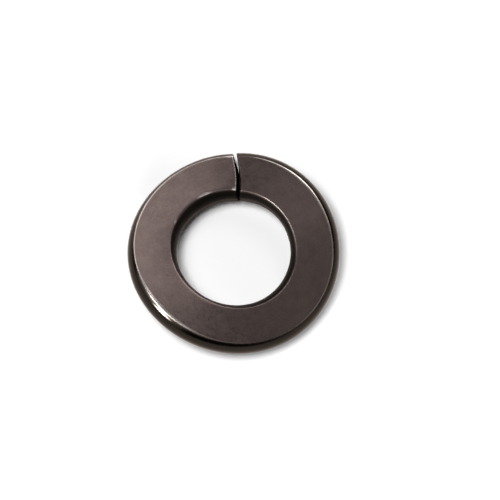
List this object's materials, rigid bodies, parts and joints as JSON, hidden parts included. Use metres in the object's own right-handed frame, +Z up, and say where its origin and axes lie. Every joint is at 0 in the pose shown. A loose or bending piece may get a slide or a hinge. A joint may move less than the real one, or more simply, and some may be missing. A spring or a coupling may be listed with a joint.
{
  "type": "wave spring lock washer",
  "caption": "Split spring lock washer of flattened wire with rounded sides, pressed into a wave, with a narrow slanted slit.",
  "frame": {"origin": "on the bore axis, at the level of the two low places that the washer rests on", "axes": "+Z up along the bore axis; +Y towards the slit; +X completes the right-handed frame"},
  "size_m": [0.0114, 0.0114, 0.0023],
  "materials": {
    "blackened_steel": "blackened spring steel, satin, thinly oiled, with bright worn edges"
  },
  "bodies": {
    "root": {"washer": "blackened_steel"}
  },
  "joints": []
}
